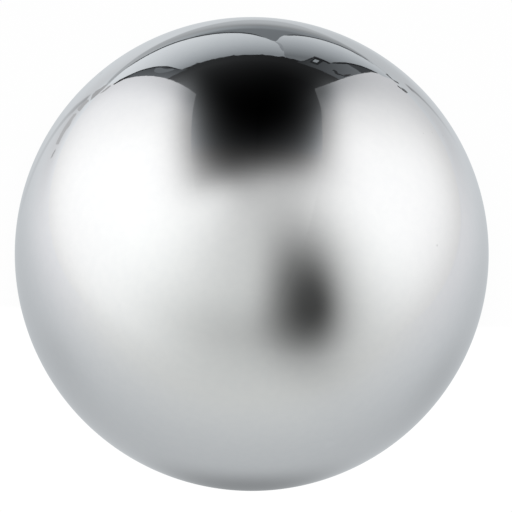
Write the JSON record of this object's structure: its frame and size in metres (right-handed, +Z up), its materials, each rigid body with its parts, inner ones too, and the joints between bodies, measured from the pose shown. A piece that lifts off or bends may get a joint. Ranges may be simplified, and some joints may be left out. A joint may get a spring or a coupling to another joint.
{
  "type": "steel ball",
  "caption": "Solid polished steel ball that rolls, bears or weighs down; it rests in a round seat or cup.",
  "frame": {"origin": "centre of the ball", "axes": "+Z is up, away from the seat that holds the ball; the ball is alike about every axis"},
  "size_m": [0.0508, 0.0508, 0.0508],
  "materials": {
    "polished_steel": "mirror polish, lapped all over, with faint handling marks and a few specks of dust"
  },
  "bodies": {
    "root": {"ball": "polished_steel"}
  },
  "joints": []
}
